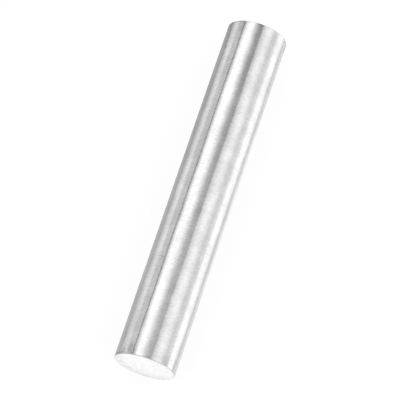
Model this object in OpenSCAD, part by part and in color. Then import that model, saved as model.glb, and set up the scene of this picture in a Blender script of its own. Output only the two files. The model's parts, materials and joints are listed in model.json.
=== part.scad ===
// Short cut length of bright steel round bar, lying on the floor.
// One solid: the bar runs along X, its lowest line rests on Z = 0, and the origin is under its middle.

/* [Bar] */
// Diameter of the bar
bar_d = 25; // [6:0.5:80]
// Overall length between the two cut ends
bar_len = 150; // [60:1:1000]

/* [Edge break] */
// Width of the broken edge along the bar, at the end that faces the viewer
near_break = 0.2; // [0.1:0.05:1.5]
// Width of the broken edge along the bar, at the other end
far_break = 0.2; // [0.1:0.05:1.5]
// Slope of both broken edges, measured from the bar's own axis
break_angle = 45; // [30:1:60]

/* [Hidden] */
$fn = 96;
bar_r = bar_d / 2;
bar_grey = "#C9CBCC";

// How far a broken edge of the given width takes the radius down
function break_depth(width) = width * tan(break_angle);

// Half section of the bar: radius along X, length along Y, with a straight break at each rim
module half_section() {
    polygon([
        [0, 0],
        [bar_r - break_depth(near_break), 0],
        [bar_r, near_break],
        [bar_r, bar_len - far_break],
        [bar_r - break_depth(far_break), bar_len],
        [0, bar_len]
    ]);
}

// The bar as it is turned: its axis along Z, its near end at Z = 0
module turned_bar() {
    rotate_extrude()
        half_section();
}

// The bar laid down: near end towards -X, resting on its lowest line
module rod() {
    color(bar_grey)
        translate([-bar_len / 2, 0, bar_r])
            rotate([0, 90, 0])
                turned_bar();
}

rod();
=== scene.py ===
"""Looks of a cut length of bright steel round bar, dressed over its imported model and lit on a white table."""
import json
import math

import bpy
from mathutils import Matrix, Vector


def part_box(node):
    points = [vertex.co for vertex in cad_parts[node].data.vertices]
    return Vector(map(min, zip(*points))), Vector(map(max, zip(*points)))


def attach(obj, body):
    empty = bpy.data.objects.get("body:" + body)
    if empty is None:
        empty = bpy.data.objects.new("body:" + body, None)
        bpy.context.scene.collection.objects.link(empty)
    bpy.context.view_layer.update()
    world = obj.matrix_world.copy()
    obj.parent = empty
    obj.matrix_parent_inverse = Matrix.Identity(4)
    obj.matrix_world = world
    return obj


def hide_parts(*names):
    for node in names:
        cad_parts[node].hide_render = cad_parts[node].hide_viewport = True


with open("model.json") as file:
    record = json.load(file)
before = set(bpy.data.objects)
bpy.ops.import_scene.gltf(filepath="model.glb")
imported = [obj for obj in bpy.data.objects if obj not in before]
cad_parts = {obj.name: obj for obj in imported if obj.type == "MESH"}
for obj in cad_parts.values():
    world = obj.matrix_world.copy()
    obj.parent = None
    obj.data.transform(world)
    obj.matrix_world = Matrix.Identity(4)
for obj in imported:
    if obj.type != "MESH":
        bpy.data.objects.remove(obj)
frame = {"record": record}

bl_info = {
    "name": "Steel Rod Looks",
    "version": (1, 0, 0),
    "blender": (4, 5, 0),
    "location": "3D View > Sidebar > Steel Rod",
    "description": "Turns a cut length of bright steel round bar and sets its table, cards, light and camera",
    "category": "Object",
}

MM = 0.001
WHITE = "#FFFFFF"

# The two kinds of node that are used most
MATH = "ShaderNodeMath"
VECTOR_MATH = "ShaderNodeVectorMath"

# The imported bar: its box at rest, and its barrel, the round surface between the two broken edges
CAD_LOW, CAD_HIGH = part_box("rod")
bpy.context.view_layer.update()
LENGTH = CAD_HIGH.x - CAD_LOW.x
RADIUS = (CAD_HIGH.z - CAD_LOW.z) / 2
AXIS = Vector((0, (CAD_LOW.y + CAD_HIGH.y) / 2, (CAD_LOW.z + CAD_HIGH.z) / 2))
BARREL = next(m for m in frame["record"]["mounts"] if m["name"] == "barrel")
EDGE_BREAK = (LENGTH - BARREL["dims"]["length_mm"] * MM) / 2

# Zones of the half section, which become the bar's three finishes
FACE, EDGE, ROUND = 0, 1, 2


def linear(hex_colour):
    """An sRGB hex colour as the linear red, green, blue and alpha that Blender works in."""
    shares = [int(hex_colour[i:i + 2], 16) / 255 for i in (1, 3, 5)]
    return tuple(s / 12.92 if s <= 0.04045 else ((s + 0.055) / 1.055) ** 2.4 for s in shares) + (1.0,)


def add_node(tree, kind, inputs=None, **settings):
    """Adds a node to a tree, with its settings, and sets or links its inputs by name or number."""
    node = tree.nodes.new(kind)
    for name, value in settings.items():
        setattr(node, name, value)
    for key, value in (inputs or {}).items():
        if isinstance(value, bpy.types.NodeSocket):
            tree.links.new(value, node.inputs[key])
        else:
            node.inputs[key].default_value = value
    return node


def new_material(name):
    """An empty node material and its tree."""
    material = bpy.data.materials.new(name)
    material.use_nodes = True
    material.node_tree.nodes.clear()
    return material, material.node_tree


def link_object(name, mesh):
    """Puts a mesh in the scene as an object at the origin."""
    obj = bpy.data.objects.new(name, mesh)
    bpy.context.scene.collection.objects.link(obj)
    return obj


class BarLooks(bpy.types.PropertyGroup):
    """Sizes and colours of the bar's own finish."""

    steps_round: bpy.props.IntProperty(
        name="Steps Round", description="Faces round the bar", default=216, min=24, max=512)
    ring_spacing: bpy.props.FloatProperty(
        name="Ring Spacing", description="Distance between two rings of the barrel",
        default=0.6 * MM, min=0.1 * MM, max=10 * MM, unit="LENGTH", precision=5)
    corner_round: bpy.props.FloatProperty(
        name="Corner Round", description="Radius where a broken edge meets the barrel or the face",
        default=0.3 * MM, min=0.01 * MM, max=0.5 * MM, unit="LENGTH", precision=5)
    lobe_height: bpy.props.FloatProperty(
        name="Lobe Height", description="How far the ground barrel strays from true round",
        default=0.06 * MM, min=0, max=0.3 * MM, unit="LENGTH", precision=6)
    lobe_length: bpy.props.FloatProperty(
        name="Lobe Length", description="Usual length of one such lobe along the bar",
        default=14 * MM, min=1 * MM, max=100 * MM, unit="LENGTH", precision=5)
    lobe_width: bpy.props.FloatProperty(
        name="Lobe Width", description="Usual width of one such lobe round the bar",
        default=10 * MM, min=1 * MM, max=100 * MM, unit="LENGTH", precision=5)
    barrel_colour: bpy.props.FloatVectorProperty(
        name="Barrel Colour", description="Ground steel, seen straight on",
        default=linear("#F2F2F2"), size=4, subtype="COLOR", min=0, max=1)
    face_colour: bpy.props.FloatVectorProperty(
        name="Face Colour", description="Faced steel of the two ends",
        default=linear("#F5F5F5"), size=4, subtype="COLOR", min=0, max=1)


class StageLooks(bpy.types.PropertyGroup):
    """Where the camera stands, and the table that the bar lies on."""

    camera_azimuth: bpy.props.FloatProperty(
        name="Camera Azimuth", description="Round the bar, from the view along +Y",
        default=math.radians(-72.38), unit="ROTATION")
    camera_elevation: bpy.props.FloatProperty(
        name="Camera Elevation", description="Above the table",
        default=math.radians(68.68), unit="ROTATION")
    camera_distance: bpy.props.FloatProperty(
        name="Camera Distance", description="From the camera to the point that it looks at",
        default=1.0156, min=0.1, unit="LENGTH")
    camera_lens: bpy.props.FloatProperty(
        name="Camera Lens", description="Focal length, in millimetres",
        default=227.4, min=10)
    table_colour: bpy.props.FloatVectorProperty(
        name="Table Colour", description="The white table and the background",
        default=linear(WHITE), size=4, subtype="COLOR", min=0, max=1)
    shadow_share: bpy.props.FloatProperty(
        name="Shadow Share", description="Share of the table's white that a shadow can take away",
        default=0.3, min=0, max=0.9)
    open_light: bpy.props.FloatProperty(
        name="Open Light", description="How bright the studio lights the open table, where 1 is white",
        default=0.68, min=0.1, max=1)


def half_section(length, radius, edge_break, corner_round, ring_spacing):
    """The bar's half section from one face's middle to the other's, as (along, out, zone of what follows)."""
    slope = 45
    arc_steps = 4
    face_rings = 24
    barrel_rings = round(length / ring_spacing)
    left, right = -length / 2, length / 2
    inner = radius - edge_break
    # How far a round reaches from its corner, and from there to the ring that keeps the plain surface true
    reach = corner_round * math.tan(math.radians(slope / 2))
    hold = corner_round / 2
    face_out = inner - reach - hold

    def corner_arc(centre_along, centre_out, start_deg):
        """Points of the small round at one side of a broken edge, as far round as the edge slopes."""
        for i in range(arc_steps + 1):
            turn = math.radians(start_deg - slope * i / arc_steps)
            along = centre_along + corner_round * math.cos(turn)
            out = centre_out + corner_round * math.sin(turn)
            yield along, out, EDGE

    points = [(left, face_out * i / face_rings, FACE) for i in range(face_rings + 1)]
    points += corner_arc(left + corner_round, inner - reach, 180)
    points += corner_arc(left + edge_break + reach, radius - corner_round, 135)
    start = left + edge_break + reach + hold
    points += [(start - 2 * start * i / barrel_rings, radius, ROUND) for i in range(barrel_rings + 1)]
    points += corner_arc(right - edge_break - reach, radius - corner_round, 90)
    points += corner_arc(right - corner_round, inner - reach, 45)
    points += [(right, face_out * i / face_rings, FACE) for i in reversed(range(face_rings + 1))]
    return points


def section_wire(points):
    """The half section as a wire mesh, in the upright plane through the bar's axis, with each edge's zone."""
    wire = bpy.data.meshes.new("rod_half_section")
    corners = [(along, 0, out) for along, out, _ in points]
    wire.from_pydata(corners, [(i, i + 1) for i in range(len(points) - 1)], [])
    zone = wire.attributes.new("zone", "INT", "EDGE")
    zone.data.foreach_set("value", [z for _, _, z in points[:-1]])
    return wire


def turning_tree():
    """Geometry Nodes that turn a half section about the bar's axis and give each zone its finish."""
    tree = bpy.data.node_groups.new("Turned Bar", "GeometryNodeTree")
    sockets = (
        ("Half Section", "INPUT", "NodeSocketGeometry"),
        ("Steps Round", "INPUT", "NodeSocketInt"),
        ("Axis Height", "INPUT", "NodeSocketFloat"),
        ("Lobe Height", "INPUT", "NodeSocketFloat"),
        ("Lobe Length", "INPUT", "NodeSocketFloat"),
        ("Lobe Width", "INPUT", "NodeSocketFloat"),
        ("Face Finish", "INPUT", "NodeSocketMaterial"),
        ("Edge Finish", "INPUT", "NodeSocketMaterial"),
        ("Round Finish", "INPUT", "NodeSocketMaterial"),
        ("Bar", "OUTPUT", "NodeSocketGeometry"),
    )
    for name, direction, kind in sockets:
        tree.interface.new_socket(name, in_out=direction, socket_type=kind)
    given = add_node(tree, "NodeGroupInput").outputs
    section, steps = given["Half Section"], given["Steps Round"]

    # A grid with one row of points for each point of the half section, and a last column that meets the first
    count = add_node(tree, "GeometryNodeAttributeDomainSize", {"Geometry": section}, component="MESH")
    columns = add_node(tree, MATH, {0: steps, 1: 1}, operation="ADD").outputs[0]
    grid = add_node(tree, "GeometryNodeMeshGrid", {
        "Size X": 1, "Size Y": 1, "Vertices X": count.outputs["Point Count"], "Vertices Y": columns})

    # Each grid point takes its section point, turned by its column's share of a full turn
    index = add_node(tree, "GeometryNodeInputIndex").outputs[0]
    row = add_node(tree, MATH, {0: index, 1: columns}, operation="DIVIDE").outputs[0]
    row = add_node(tree, MATH, {0: row}, operation="FLOOR").outputs[0]
    column = add_node(tree, MATH, {0: index, 1: columns}, operation="MODULO").outputs[0]
    share = add_node(tree, MATH, {0: column, 1: steps}, operation="DIVIDE").outputs[0]
    turn = add_node(tree, MATH, {0: share, 1: math.tau}, operation="MULTIPLY").outputs[0]
    place = add_node(tree, "GeometryNodeInputPosition").outputs[0]
    sampled = add_node(tree, "GeometryNodeSampleIndex", {"Geometry": section, "Value": place, "Index": row},
                       data_type="FLOAT_VECTOR", domain="POINT").outputs[0]
    parts = add_node(tree, "ShaderNodeSeparateXYZ", {0: sampled}).outputs
    sine = add_node(tree, MATH, {0: turn}, operation="SINE").outputs[0]
    cosine = add_node(tree, MATH, {0: turn}, operation="COSINE").outputs[0]
    outward = add_node(tree, "ShaderNodeCombineXYZ", {"X": 0, "Y": sine, "Z": cosine}).outputs[0]

    # The barrel strays a little from true round, in long shallow lobes that make the reflections wander
    along = add_node(tree, "ShaderNodeCombineXYZ", {"X": parts["X"], "Y": 0, "Z": 0}).outputs[0]
    true_round = add_node(tree, VECTOR_MATH, {0: outward, "Scale": parts["Z"]}, operation="SCALE").outputs[0]
    true_place = add_node(tree, VECTOR_MATH, {0: along, 1: true_round}, operation="ADD").outputs[0]
    lobe_size = add_node(tree, "ShaderNodeCombineXYZ", {
        "X": given["Lobe Length"], "Y": given["Lobe Width"], "Z": given["Lobe Width"]}).outputs[0]
    waves = add_node(tree, VECTOR_MATH, {0: true_place, 1: lobe_size}, operation="DIVIDE").outputs[0]
    lobes = add_node(tree, "ShaderNodeTexNoise", {"Vector": waves, "Scale": 1, "Detail": 1, "Roughness": 0.4})
    centred = add_node(tree, MATH, {0: lobes.outputs[0], 1: 0.5}, operation="SUBTRACT").outputs[0]
    stray = add_node(tree, MATH, {0: centred, 1: given["Lobe Height"]}, operation="MULTIPLY").outputs[0]
    out = add_node(tree, MATH, {0: stray, 1: 2, 2: parts["Z"]}, operation="MULTIPLY_ADD").outputs[0]
    at_middle = add_node(tree, MATH, {0: parts["Z"], 1: 1e-6}, operation="GREATER_THAN").outputs[0]
    out = add_node(tree, MATH, {0: out, 1: at_middle}, operation="MULTIPLY").outputs[0]
    strayed = add_node(tree, VECTOR_MATH, {0: outward, "Scale": out}, operation="SCALE").outputs[0]
    lifted = add_node(tree, "ShaderNodeCombineXYZ", {
        "X": parts["X"], "Y": 0, "Z": given["Axis Height"]}).outputs[0]
    final_place = add_node(tree, VECTOR_MATH, {0: lifted, 1: strayed}, operation="ADD").outputs[0]

    # Each face of the grid takes the zone of the section edge that it was turned from
    zone_of_edge = add_node(
        tree, "GeometryNodeInputNamedAttribute", {"Name": "zone"}, data_type="INT").outputs[0]
    edge_row = add_node(tree, MATH, {0: index, 1: steps}, operation="DIVIDE").outputs[0]
    edge_row = add_node(tree, MATH, {0: edge_row}, operation="FLOOR").outputs[0]
    face_zone = add_node(tree, "GeometryNodeSampleIndex", {
        "Geometry": section, "Value": zone_of_edge, "Index": edge_row},
        data_type="INT", domain="EDGE").outputs[0]
    bar = add_node(tree, "GeometryNodeStoreNamedAttribute", {
        "Geometry": grid.outputs["Mesh"], "Name": "UVMap", "Value": grid.outputs["UV Map"]},
        data_type="FLOAT2", domain="CORNER").outputs[0]
    bar = add_node(tree, "GeometryNodeStoreNamedAttribute", {
        "Geometry": bar, "Name": "zone", "Value": face_zone},
        data_type="INT", domain="FACE").outputs[0]
    bar = add_node(tree, "GeometryNodeSetPosition", {"Geometry": bar, "Position": final_place}).outputs[0]
    bar = add_node(tree, "GeometryNodeMergeByDistance", {"Geometry": bar, "Distance": 1e-7}).outputs[0]
    bar = add_node(tree, "GeometryNodeSetShadeSmooth", {"Geometry": bar, "Shade Smooth": True}).outputs[0]
    bar = add_node(tree, "GeometryNodeRealizeInstances", {"Geometry": bar}).outputs[0]
    zone = add_node(tree, "GeometryNodeInputNamedAttribute", {"Name": "zone"}, data_type="INT").outputs[0]
    for number, finish in ((FACE, "Face Finish"), (EDGE, "Edge Finish"), (ROUND, "Round Finish")):
        chosen = add_node(tree, "FunctionNodeCompare", {2: zone, 3: number},
                          data_type="INT", operation="EQUAL").outputs[0]
        bar = add_node(tree, "GeometryNodeSetMaterial", {
            "Geometry": bar, "Selection": chosen, "Material": given[finish]}).outputs[0]
    add_node(tree, "NodeGroupOutput", {"Bar": bar})
    return tree


def bar_space(tree):
    """Object coordinates measured from the bar's axis: X along it, Y and Z outwards."""
    coordinates = add_node(tree, "ShaderNodeTexCoord").outputs["Object"]
    return add_node(tree, VECTOR_MATH, {0: coordinates, 1: AXIS}, operation="SUBTRACT").outputs[0]


# Small marks of handling on the barrel, specks, a scratch and a dent, and patches that darken it along both
# rims
# and on the near flank: mm along from its middle, degrees round from its top line towards +Y, reach along and
# round in mm, and the share of light left, which is over 1 for a bright scratch
BARREL_MARKS = (
    (-32.3, 38, 0.3, 2.2, 0.88, "scratch across the flank"),
    (-32.8, 29, 0.5, 0.6, 0.74, "dark end of that scratch"),
    (-40, 29.5, 0.5, 0.4, 1.1, "bright speck"),
    (-19, 31, 0.5, 0.4, 1.1, "bright speck"),
    (-23, -1, 0.5, 0.5, 1.12, "bright speck in the dark band"),
    (-51.5, -9, 0.5, 0.4, 0.82, "dark speck"),
    (-47, -9, 0.6, 0.3, 0.86, "dark speck"),
    (-72.5, 30, 3.6, 2.2, 0.76, "dull patch at the near rim"),
    (-75, 45, 5.2, 1.8, 0.74, "dull patch at the near rim"),
    (-75, 60, 1.4, 5, 0.74, "dull patch at the near rim"),
    (-73, 76, 6, 1.6, 0.86, "dull patch on the flank at the near rim"),
    (-75, 50, 1.3, 10, 0.8, "dull line along the near rim"),
    (-74.5, 19, 4.5, 1, 0.84, "dull patch at the near rim"),
    (-75, -8, 1.2, 2.8, 0.66, "dull patch at the near rim"),
    (-73, 4, 3.5, 1.5, 0.91, "dull patch at the near rim"),
    (-73, -36, 3.5, 1.3, 0.87, "dull patch at the near rim"),
    (-75, 25, 1.6, 1.5, 0.82, "dull patch at the near rim"),
    (-66, 41, 16, 1.7, 0.9, "dull stretch of the flank"),
    (-68, 17.5, 14, 1.2, 0.87, "dull stretch beside the strip light's reflection"),
    (-74.5, -44, 5, 1.7, 0.82, "dull patch at the near rim"),
    (-72.6, -66, 3.4, 1.6, 0.83, "dull patch at the near rim"),
    (56.7, 35, 1.5, 1.3, 0.84, "ring-shaped dent, its dark border"),
    (56.7, 35, 0.8, 0.7, 1.22, "ring-shaped dent, its bright middle"),
    (66.5, 42, 0.8, 0.6, 0.84, "dark speck"),
    (61, 44, 1.4, 0.8, 1.08, "bright patch"),
    (63, 53, 1, 1, 0.86, "dark speck"),
    (75, 64, 1.8, 3.4, 0.72, "dull patch at the far rim"),
    (75, 76, 4, 1.4, 0.86, "dull patch at the far rim"),
    (75, 48, 1.2, 5, 0.86, "dull patch at the far rim"),
    (74.6, 24, 3.4, 1.2, 0.78, "dull patch at the far rim"),
    (71.5, 27, 3, 2.2, 0.86, "dull patch near the far rim"),
    (75, 32, 1.2, 2.4, 0.84, "dull line along the far rim"),
    (73, 17.5, 6, 1.1, 0.87, "dull patch at the far rim"),
    (74, 2, 4, 1, 0.88, "dull patch at the far rim"),
    (75, -7, 2.6, 2.4, 0.86, "dull patch at the far rim"),
)
# The same on the faced ends: mm across towards +Y and up from their middle, reach across and up in mm, and
# the share of light left. Two of them are painted shade: the dull side darkens the +Y side, and the dull
# patch at the lower rim darkens the face where it meets the table.
FACE_MARKS_AND_SHADE = (
    (9.7, -1.8, 1.7, 1.4, 0.88, "grey mark"),
    (8.2, -1.6, 0.9, 0.8, 0.9, "short grey mark"),
    (9.6, -3.6, 0.5, 0.8, 1.08, "bright nick"),
    (6.8, -6.6, 3.4, 1.8, 0.9, "dull patch"),
    # Painted shade: this mark darkens the +Y side, and the next one the lower rim
    (10, 2.5, 1.8, 5, 0.96, "dull side"),
    (0, -10.6, 2.6, 1.2, 0.94, "dull patch at the lower rim"),
    (-7, -6.4, 1.8, 1.2, 0.95, "dull patch"),
    (-3, 3.5, 1.6, 2.4, 0.975, "faint dull patch"),
    (-6.6, 1, 1.2, 2.2, 0.97, "faint dull patch"),
    (-11.6, -0.6, 0.5, 0.8, 0.8, "dark nick at the rim"),
    (-10.9, 0.6, 0.6, 1, 1.06, "bright side of that nick"),
)


def streaks(tree, space, apart, long, detail, roughness):
    """Noise drawn out round the bar: streaks of a given spacing along it and length round it."""
    scale = (1 / apart, 1 / long, 1 / long)
    place = add_node(tree, VECTOR_MATH, {0: space, 1: scale}, operation="MULTIPLY").outputs[0]
    return add_node(tree, "ShaderNodeTexNoise", {
        "Vector": place, "Scale": 1, "Detail": detail, "Roughness": roughness}).outputs[0]


def between(tree, value, low, high, at_low, at_high):
    """A value eased from at_low to at_high while another one goes from low to high."""
    return add_node(tree, "ShaderNodeMapRange", {
        "Value": value, "From Min": low, "From Max": high, "To Min": at_low, "To Max": at_high},
        interpolation_type="SMOOTHSTEP").outputs[0]


def marked(tree, place, marks):
    """The light left by soft-edged marks, from each one's centre, its reach each way and its own share."""
    left = 1
    for centre, reach, share in marks:
        offset = add_node(tree, VECTOR_MATH, {0: place, 1: centre}, operation="SUBTRACT").outputs[0]
        scaled = add_node(tree, VECTOR_MATH, {0: offset, 1: reach}, operation="DIVIDE").outputs[0]
        away = add_node(tree, VECTOR_MATH, {0: scaled}, operation="LENGTH").outputs["Value"]
        kept = between(tree, away, 0.3, 1, share, 1)
        left = add_node(tree, MATH, {0: kept, 1: left}, operation="MULTIPLY").outputs[0]
    return left


def tinted(tree, colour, share):
    """A colour taken down to a share of itself."""
    return add_node(tree, VECTOR_MATH, {0: colour[:3], "Scale": share}, operation="SCALE").outputs[0]


def ground_barrel(looks):
    """Ground bright steel: a near-mirror across the bar, smeared along it by the fine streaks round it."""
    material, tree = new_material("ground_bright_steel")
    space = bar_space(tree)
    # Grinding leaves streaks about 0.05 mm apart. Too fine for the render, they are drawn 0.5 mm apart.
    lay = streaks(tree, space, 0.5 * MM, 1.2 * MM, 2, 0.6)
    # The wheel's slow marks, some millimetres apart and about twice as high
    wheel = streaks(tree, space, 2.5 * MM, 5 * MM, 1, 0.5)
    height = add_node(tree, MATH, {0: wheel, 1: 1.9, 2: lay}, operation="MULTIPLY_ADD").outputs[0]
    bump = add_node(tree, "ShaderNodeBump", {
        "Strength": 1, "Distance": 0.015 * MM, "Height": height}).outputs[0]
    # Streaks and clouds that catch a little less or more light, from fine to broad
    shade = between(tree, streaks(tree, space, 0.5 * MM, 1.8 * MM, 2, 0.7), 0.3, 0.7, 0.94, 1.06)
    for apart, long, spread in ((1.8, 4, 0.022), (9, 6, 0.06)):
        cloud = streaks(tree, space, apart * MM, long * MM, 2, 0.6)
        cloud = between(tree, cloud, 0.3, 0.7, 1 - spread, 1 + spread)
        shade = add_node(tree, MATH, {0: shade, 1: cloud}, operation="MULTIPLY").outputs[0]
    # The marks lie on the barrel as if it was rolled out flat: along the bar, and round it from its top line
    parts = add_node(tree, "ShaderNodeSeparateXYZ", {0: space}).outputs
    turn = add_node(tree, MATH, {0: parts["Y"], 1: parts["Z"]}, operation="ARCTAN2").outputs[0]
    round_way = add_node(tree, MATH, {0: turn, 1: RADIUS}, operation="MULTIPLY").outputs[0]
    flat = add_node(tree, "ShaderNodeCombineXYZ", {"X": parts["X"], "Y": round_way}).outputs[0]
    marks = [((along * MM, math.radians(degrees) * RADIUS, 0), (long * MM, wide * MM, 1), share)
             for along, degrees, long, wide, share, _ in BARREL_MARKS]
    share = add_node(tree, MATH, {0: marked(tree, flat, marks), 1: shade}, operation="MULTIPLY").outputs[0]
    tangent = add_node(tree, "ShaderNodeTangent", direction_type="UV_MAP", uv_map="UVMap").outputs[0]
    shader = add_node(tree, "ShaderNodeBsdfPrincipled", {
        "Base Color": tinted(tree, looks.barrel_colour, share), "Metallic": 1, "Roughness": 0.17,
        "Anisotropic": 0.97, "Tangent": tangent, "Normal": bump})
    add_node(tree, "ShaderNodeOutputMaterial", {"Surface": shader.outputs[0]})
    return material


def faced_end(looks):
    """Faced steel: a dull silvery sheen, with faint marks of the tool, and painted shade on its lower and +Y
    sides.
    """
    material, tree = new_material("faced_steel_end")
    space = bar_space(tree)
    cloud = add_node(tree, "ShaderNodeTexNoise", {
        "Vector": space, "Scale": 1 / (1.7 * MM), "Detail": 3}).outputs[0]
    cloud = between(tree, cloud, 0.35, 0.65, 0.925, 1.02)
    # Painted shade: the lower side of the face is darker, most of all along its rim, where the table beneath
    # shades it
    parts = add_node(tree, "ShaderNodeSeparateXYZ", {0: space}).outputs
    out = add_node(tree, VECTOR_MATH, {
        0: add_node(tree, "ShaderNodeCombineXYZ", {"Y": parts["Y"], "Z": parts["Z"]}).outputs[0]},
        operation="LENGTH").outputs["Value"]
    sideways = add_node(tree, MATH, {0: parts["Y"], 1: -0.5, 2: parts["Z"]},
                        operation="MULTIPLY_ADD").outputs[0]
    painted_shade_low_side = between(tree, sideways, 4 * MM, -8 * MM, 0, 0.07)
    wide = between(tree, out, RADIUS - 6 * MM, RADIUS, 0, painted_shade_low_side)
    painted_shade_low_rim = between(tree, sideways, 1 * MM, -5 * MM, 0, 0.06)
    thin = between(tree, out, RADIUS - 1.2 * MM, RADIUS - 0.3 * MM, 0, painted_shade_low_rim)
    rim = add_node(tree, MATH, {0: wide, 1: thin}, operation="ADD").outputs[0]
    marks = [((0, side * MM, up * MM), (1, across * MM, high * MM), share)
             for side, up, across, high, share, _ in FACE_MARKS_AND_SHADE]
    share = add_node(tree, MATH, {0: marked(tree, space, marks), 1: cloud}, operation="MULTIPLY").outputs[0]
    # Painted shade of the lower side and its rim, taken off the face's colour
    share = add_node(tree, MATH, {0: share, 1: rim}, operation="SUBTRACT").outputs[0]
    shader = add_node(tree, "ShaderNodeBsdfPrincipled", {
        "Base Color": tinted(tree, looks.face_colour, share), "Metallic": 1, "Roughness": 0.4})
    add_node(tree, "ShaderNodeOutputMaterial", {"Surface": shader.outputs[0]})
    return material


def broken_edge(looks):
    """Filed steel of the broken edge: a narrow line round each end."""
    material, tree = new_material("filed_steel_edge")
    shader = add_node(tree, "ShaderNodeBsdfPrincipled", {
        "Base Color": tinted(tree, looks.barrel_colour, 0.88), "Metallic": 1, "Roughness": 0.2})
    add_node(tree, "ShaderNodeOutputMaterial", {"Surface": shader.outputs[0]})
    return material


class STEELROD_OT_turn_bar(bpy.types.Operator):
    """Turn the bar from its half section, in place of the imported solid"""

    bl_idname = "steel_rod.turn_bar"
    bl_label = "Turn Bar"

    def execute(self, context):
        looks = context.scene.bar_looks
        points = half_section(LENGTH, RADIUS, EDGE_BREAK, looks.corner_round, looks.ring_spacing)
        bar = link_object("turned_rod", section_wire(points))
        tree = turning_tree()
        modifier = bar.modifiers.new("Turned Bar", "NODES")
        modifier.node_group = tree
        values = {
            "Steps Round": looks.steps_round,
            "Axis Height": AXIS.z,
            "Lobe Height": looks.lobe_height,
            "Lobe Length": looks.lobe_length,
            "Lobe Width": looks.lobe_width,
            "Face Finish": faced_end(looks),
            "Edge Finish": broken_edge(looks),
            "Round Finish": ground_barrel(looks),
        }
        for item in tree.interface.items_tree:
            if item.name in values:
                modifier[item.identifier] = values[item.name]
        context.view_layer.update()
        evaluated = bar.evaluated_get(context.evaluated_depsgraph_get())
        turned = bpy.data.meshes.new_from_object(evaluated)
        # A grid starts with an empty material slot, which no face uses any more
        turned.materials.pop(index=0)
        bar.modifiers.clear()
        bar.data = turned
        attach(bar, "root")
        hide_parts("rod")
        return {"FINISHED"}


# Lights and walls round the bar, as its barrel mirrors them: degrees from straight up, positive towards +Y,
# and brightness
STUDIO_ROUND = (
    (-90, 0.93, "white wall above the table, on the bright side"),
    (-86.5, 0.86, "lower part of that wall"),
    (-79, 0.74, "its shaded top"),
    (-68, 0.70, "shade between the wall and the side panel"),
    (-63.5, 0.72, "outer rim of the side panel"),
    (-57, 0.90, "side panel"),
    (-47, 1.00, "side panel, its brightest part"),
    (-40, 0.97, "side panel"),
    (-30, 0.82, "side panel, thinning out"),
    (-19.6, 0.62, "inner edge of the side panel"),
    (-18.6, 1.00, "inner edge of the strip light"),
    (-11, 1.15, "strip light"),
    (41.6, 1.15, "outer edge of the strip light"),
    (49.8, 0.68, "rim of the strip light"),
    (53.8, 0.60, "bright side of the dark frame"),
    (54.6, 0.00, "dark frame beside the strip light"),
    (56.2, 0.00, "other side of the frame"),
    (57.2, 0.62, "grey wall"),
    (79.5, 0.64, "lower part of the grey wall"),
    (83, 0.79, "white skirting"),
    (90, 0.84, "foot of the skirting"),
)
# The camera's dark shape stands before the strip light, in degrees: hard on the side of the side panel, and
# soft on the other
GAP_HARD_EDGE = -19.6
GAP_FULL = -9
GAP_SOFT_END = 24
# Where the side panel's own loss of light sets in, and where the grey wall starts
PANEL_END = -45
WALL_EDGE = 57
# How far a ray leans along the bar, and how much light the camera's shape, the panel and the wall lose there
GAP_LOSS = ((0.2, 0.36), (0.5, 0.90))
PANEL_LOSS = ((0.2, -0.24), (0.5, 0.21))
WALL_LOSS = ((0.345, 0), (0.45, 0.21))
# Nothing in the studio is quite parallel to the bar: degrees that each side of it wanders off, by lean
LEFT_SLANT = ((0.25, 3.9), (0.45, -3))
GAP_SLANT = ((0.25, -7), (0.36, 0))
RIGHT_SLANT = ((0.25, 4.4), (0.42, 0))
# From where to where, in degrees, the slant of each side sets in
LEFT_SIDE = (20, 45)
RIGHT_SIDE = (-45, -65)
# The room behind the camera is darker: how far a ray leans back, and the share of light left there
ROOM_LEAN = (-0.5, -0.9)
ROOM_SHARE = 0.7
# A dark coat stands there too: from side to side in degrees, soft to full, and the light that it takes
COAT = ((-60, -35), (16, 2))
COAT_LOSS = 0.65
COAT_LEAN = (-0.35, -0.65)

# Cards round the bar, seen only in reflections: distance from the bar's line across the table, and brightness
GREY_CLOTH = (
    # Painted shadow: the first stops, next to the bar, darken the table in the bar's own shade
    (0.012, 0.28), (0.016, 0.37), (0.020, 0.52), (0.026, 0.52),
    (0.036, 0.45), (0.050, 0.49), (0.075, 0.63), (0.135, 0.75), (0.600, 0.82))
FRONT_CLOTH = ((0.016, 1.10), (0.026, 0.45), (0.075, 0.45), (0.300, 0.60))
GREY_BATTEN = (
    (0.0135, 0.86), (0.0175, 0.90), (0.0195, 0.88), (0.0215, 0.83),
    (0.025, 0.70), (0.0278, 0.61), (0.031, 0.71), (0.037, 0.88))
WHITE_CARD = ((0.037, 0.90), (0.045, 1.05), (0.055, 1.12), (0.200, 1.12), (0.600, 1.00), (2, 0.93))
FAR_CARD = ((0.001, 0.30), (0.015, 0.30))
# The card before the near face, by the distance from that face: it is darker close to the bar's end, as painted
# contact shadow at the bar's foot
END_CARD = ((0.0005, 0.95), (0.002, 1.05), (0.004, 1.11), (0.010, 1.16), (0.300, 1.16))
# Where cloth and batten darken: from and to along the bar, from and to across the table, and the share lost
CLOTH_FADES = (((-0.040, 0.080), (0.080, 0.045), 0.17), ((0.076, 0.088), (0.056, 0.036), 0.2))
BATTEN_FADES = (((-0.015, -0.060), (0.0235, 0.019), 0.14), ((0.025, 0.065), (0.0235, 0.019), 0.14))
CARD_HEIGHT = 0.3 * MM
CARD_REACH = 400 * MM
FAR_AWAY = 20

# The point that the camera looks at, at the height of the bar's axis: along the bar and across it
CAMERA_AIM = (-1.45 * MM, 0.51 * MM)


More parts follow.
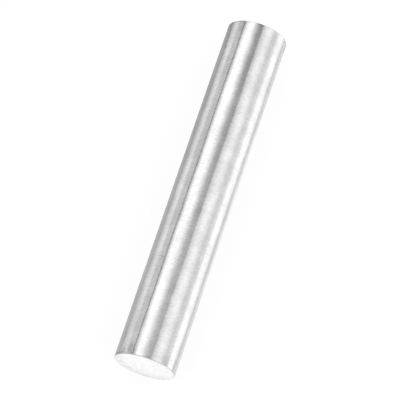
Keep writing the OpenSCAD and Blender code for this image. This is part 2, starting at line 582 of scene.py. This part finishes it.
def ramp_node(tree, value, stops):
    """A brightness that follows a value through (place, level) stops, by a colour ramp of greys."""
    brightest = max(level for _, level in stops)
    node = add_node(tree, "ShaderNodeValToRGB", {0: value})
    elements = node.color_ramp.elements
    elements.remove(elements[-1])
    for i, (place, level) in enumerate(stops):
        element = elements[0] if i == 0 else elements.new(place)
        element.position = place
        element.color = (level / brightest,) * 3 + (1,)
    return add_node(tree, MATH, {0: node.outputs[0], 1: brightest}, operation="MULTIPLY").outputs[0]


def studio_world():
    """Long soft lights and walls that run beside the bar. The camera itself sees plain white."""
    world = bpy.data.worlds.new("white_studio")
    world.use_nodes = True
    tree = world.node_tree
    tree.nodes.clear()
    direction = add_node(tree, "ShaderNodeTexCoord").outputs["Generated"]
    parts = add_node(tree, "ShaderNodeSeparateXYZ", {0: direction}).outputs
    angle = add_node(tree, MATH, {0: parts["Y"], 1: parts["Z"]}, operation="ARCTAN2").outputs[0]
    degrees = add_node(tree, MATH, {0: angle}, operation="DEGREES").outputs[0]

    def along(stops, where):
        """A value that goes with the lean from one (lean, value) stop to the other, taken times a mask."""
        (lean_low, low), (lean_high, high) = stops
        value = add_node(tree, "ShaderNodeMapRange", {
            "Value": parts["X"], "From Min": lean_low, "From Max": lean_high,
            "To Min": low, "To Max": high}).outputs[0]
        return add_node(tree, MATH, {0: value, 1: where}, operation="MULTIPLY").outputs[0]

    slanted = degrees
    for stops, side in ((LEFT_SLANT, LEFT_SIDE), (RIGHT_SLANT, RIGHT_SIDE)):
        slant = along(stops, between(tree, degrees, *side, 0, 1))
        slanted = add_node(tree, MATH, {0: slanted, 1: slant}, operation="ADD").outputs[0]
    share = add_node(tree, "ShaderNodeMapRange", {
        "Value": slanted, "From Min": -90, "From Max": 90}).outputs[0]
    lights = ramp_node(tree, share, [(place / 180 + 0.5, level) for place, level, _ in STUDIO_ROUND])

    panel = between(tree, degrees, GAP_HARD_EDGE + 1, GAP_HARD_EDGE, 0, 1)
    not_panel = add_node(tree, MATH, {0: 1, 1: panel}, operation="SUBTRACT").outputs[0]
    panel = add_node(tree, MATH, {0: panel, 1: between(tree, degrees, PANEL_END, GAP_HARD_EDGE, 0, 1)},
                     operation="MULTIPLY").outputs[0]
    widened = add_node(tree, MATH, {0: degrees, 1: along(GAP_SLANT, not_panel)}, operation="ADD").outputs[0]
    gap = between(tree, widened, GAP_SOFT_END, GAP_FULL, 0, 1)
    gap = add_node(tree, MATH, {0: gap, 1: not_panel}, operation="MULTIPLY").outputs[0]
    wall = between(tree, degrees, WALL_EDGE, WALL_EDGE + 1, 0, 1)
    level = lights
    for stops, where in ((GAP_LOSS, gap), (PANEL_LOSS, panel), (WALL_LOSS, wall)):
        left = add_node(tree, MATH, {0: 1, 1: along(stops, where)}, operation="SUBTRACT").outputs[0]
        level = add_node(tree, MATH, {0: level, 1: left}, operation="MULTIPLY").outputs[0]
    behind = between(tree, parts["X"], *ROOM_LEAN, 1, ROOM_SHARE)
    level = add_node(tree, MATH, {0: level, 1: behind}, operation="MULTIPLY").outputs[0]
    coat = between(tree, degrees, *COAT[0], 0, between(tree, degrees, *COAT[1], 0, COAT_LOSS))
    coat = between(tree, parts["X"], *COAT_LEAN, 0, coat)
    left = add_node(tree, MATH, {0: 1, 1: coat}, operation="SUBTRACT").outputs[0]
    level = add_node(tree, MATH, {0: level, 1: left}, operation="MULTIPLY").outputs[0]

    room = add_node(tree, "ShaderNodeBackground", {"Color": linear(WHITE), "Strength": level})
    plain = add_node(tree, "ShaderNodeBackground", {"Color": linear(WHITE), "Strength": 1})
    seen = add_node(tree, "ShaderNodeLightPath").outputs["Is Camera Ray"]
    mixed = add_node(tree, "ShaderNodeMixShader", {0: seen, 1: room.outputs[0], 2: plain.outputs[0]})
    add_node(tree, "ShaderNodeOutputWorld", {"Surface": mixed.outputs[0]})
    return world


def white_table(looks):
    """White laminate. Camera and mirror rays see it white, less a share of the bar's shadow."""
    material, tree = new_material("white_laminate_table")
    diffuse = add_node(tree, "ShaderNodeBsdfDiffuse", {"Color": looks.table_colour})
    # The glow that makes the open table white together with the share that shows the light
    lit = 1 - looks.shadow_share * looks.open_light
    glow = add_node(tree, "ShaderNodeEmission", {
        "Color": looks.table_colour, "Strength": lit / (1 - looks.shadow_share)})
    kept = add_node(tree, "ShaderNodeMixShader", {
        0: looks.shadow_share, 1: glow.outputs[0], 2: diffuse.outputs[0]})
    path = add_node(tree, "ShaderNodeLightPath").outputs
    looked_at = add_node(tree, MATH, {0: path["Is Camera Ray"], 1: path["Is Glossy Ray"]},
                         operation="MAXIMUM").outputs[0]
    mixed = add_node(tree, "ShaderNodeMixShader", {0: looked_at, 1: diffuse.outputs[0], 2: kept.outputs[0]})
    add_node(tree, "ShaderNodeOutputMaterial", {"Surface": mixed.outputs[0]})
    material.cycles.emission_sampling = "NONE"
    return material


def card_material(name, stops, start, fades):
    """A glowing card, bright by (metres, level) stops across the table, or along it from start."""
    material, tree = new_material(name)
    coordinates = add_node(tree, "ShaderNodeTexCoord").outputs["Object"]
    parts = add_node(tree, "ShaderNodeSeparateXYZ", {0: coordinates}).outputs
    away = parts["Y"]
    if start is not None:
        away = add_node(tree, MATH, {0: parts["X"], 1: start}, operation="SUBTRACT").outputs[0]
    away = add_node(tree, MATH, {0: away}, operation="ABSOLUTE").outputs[0]
    furthest = stops[-1][0]
    share = add_node(tree, MATH, {0: away, 1: furthest}, operation="DIVIDE").outputs[0]
    level = ramp_node(tree, share, [(place / furthest, level) for place, level in stops])
    for (from_x, to_x), (from_y, to_y), loss in fades:
        lost = between(tree, parts["X"], from_x, to_x, 0, between(tree, away, from_y, to_y, 0, loss))
        left = add_node(tree, MATH, {0: 1, 1: lost}, operation="SUBTRACT").outputs[0]
        level = add_node(tree, MATH, {0: level, 1: left}, operation="MULTIPLY").outputs[0]
    glow = add_node(tree, "ShaderNodeEmission", {"Color": linear(WHITE), "Strength": level})
    add_node(tree, "ShaderNodeOutputMaterial", {"Surface": glow.outputs[0]})
    material.cycles.emission_sampling = "NONE"
    return material


def flat_sheet(name, low, high, height, material):
    """A level rectangle between two corners, facing up."""
    mesh = bpy.data.meshes.new(name)
    corners = [(x, y, height) for x, y in (low, (high[0], low[1]), high, (low[0], high[1]))]
    mesh.from_pydata(corners, [], [(0, 1, 2, 3)])
    mesh.materials.append(material)
    sheet = link_object(name, mesh)
    return sheet


def reflected_card(name, low, high, stops, start=None, fades=(), height=CARD_HEIGHT):
    """A card on the table between two corners, which only reflections see."""
    card = flat_sheet(name, low, high, height, card_material(name, stops, start, fades))
    card.visible_camera = False
    card.visible_diffuse = False
    card.visible_shadow = False
    return card


class STEELROD_OT_set_stage(bpy.types.Operator):
    """Set the white table, the light and the camera"""

    bl_idname = "steel_rod.set_stage"
    bl_label = "Set Stage"

    def execute(self, context):
        looks = context.scene.stage_looks
        flat_sheet("white_table", (-FAR_AWAY, -FAR_AWAY), (FAR_AWAY, FAR_AWAY), 0, white_table(looks))
        near, end, front = CAD_LOW.x, CAD_HIGH.x, CAD_LOW.x - CARD_REACH
        cloth, batten, side = GREY_CLOTH[0][0], GREY_BATTEN[0][0], WHITE_CARD[0][0]
        reflected_card("grey_cloth", (near, cloth), (FAR_AWAY, FAR_AWAY), GREY_CLOTH, fades=CLOTH_FADES)
        reflected_card("front_cloth", (front, cloth), (near, FRONT_CLOTH[-1][0]), FRONT_CLOTH)
        reflected_card("grey_batten", (front, -side), (FAR_AWAY, -batten), GREY_BATTEN, fades=BATTEN_FADES)
        reflected_card("white_side_card", (front, -FAR_AWAY), (FAR_AWAY, -side), WHITE_CARD)
        reflected_card("white_end_card", (front, -batten), (near - 0.5 * MM, cloth), END_CARD, start=near)
        reflected_card("grey_far_card", (end + 1 * MM, -16 * MM), (end + CARD_REACH, cloth), FAR_CARD,
                       height=CARD_HEIGHT * 1.5)
        context.scene.world = studio_world()
        context.scene.view_settings.view_transform = "Standard"

        target = Vector((*CAMERA_AIM, AXIS.z))
        azimuth, elevation = looks.camera_azimuth, looks.camera_elevation
        back = Vector((math.sin(azimuth) * math.cos(elevation), -math.cos(azimuth) * math.cos(elevation),
                       math.sin(elevation)))
        camera = bpy.data.cameras.new("photo_view")
        camera.lens = looks.camera_lens
        view = bpy.data.objects.new("photo_view", camera)
        view.location = target + back * looks.camera_distance
        view.rotation_euler = back.to_track_quat("Z", "Y").to_euler()
        context.scene.collection.objects.link(view)
        context.scene.camera = view
        return {"FINISHED"}


class STEELROD_PT_looks(bpy.types.Panel):
    """Steel rod looks, in the 3D view's sidebar"""

    bl_idname = "STEELROD_PT_looks"
    bl_label = "Steel Rod"
    bl_space_type = "VIEW_3D"
    bl_region_type = "UI"
    bl_category = "Steel Rod"

    def draw(self, context):
        for looks in (context.scene.bar_looks, context.scene.stage_looks):
            column = self.layout.column()
            for name in looks.__annotations__:
                column.prop(looks, name)
        for step in STEPS:
            self.layout.operator(step.bl_idname)


STEPS = (STEELROD_OT_turn_bar, STEELROD_OT_set_stage)
CLASSES = (BarLooks, StageLooks) + STEPS + (STEELROD_PT_looks,)


def register():
    for cls in CLASSES:
        bpy.utils.register_class(cls)
    bpy.types.Scene.bar_looks = bpy.props.PointerProperty(type=BarLooks)
    bpy.types.Scene.stage_looks = bpy.props.PointerProperty(type=StageLooks)


def unregister():
    del bpy.types.Scene.stage_looks
    del bpy.types.Scene.bar_looks
    for cls in reversed(CLASSES):
        bpy.utils.unregister_class(cls)


def main():
    register()
    bpy.ops.steel_rod.turn_bar()
    bpy.ops.steel_rod.set_stage()


if __name__ == "__main__":
    main()
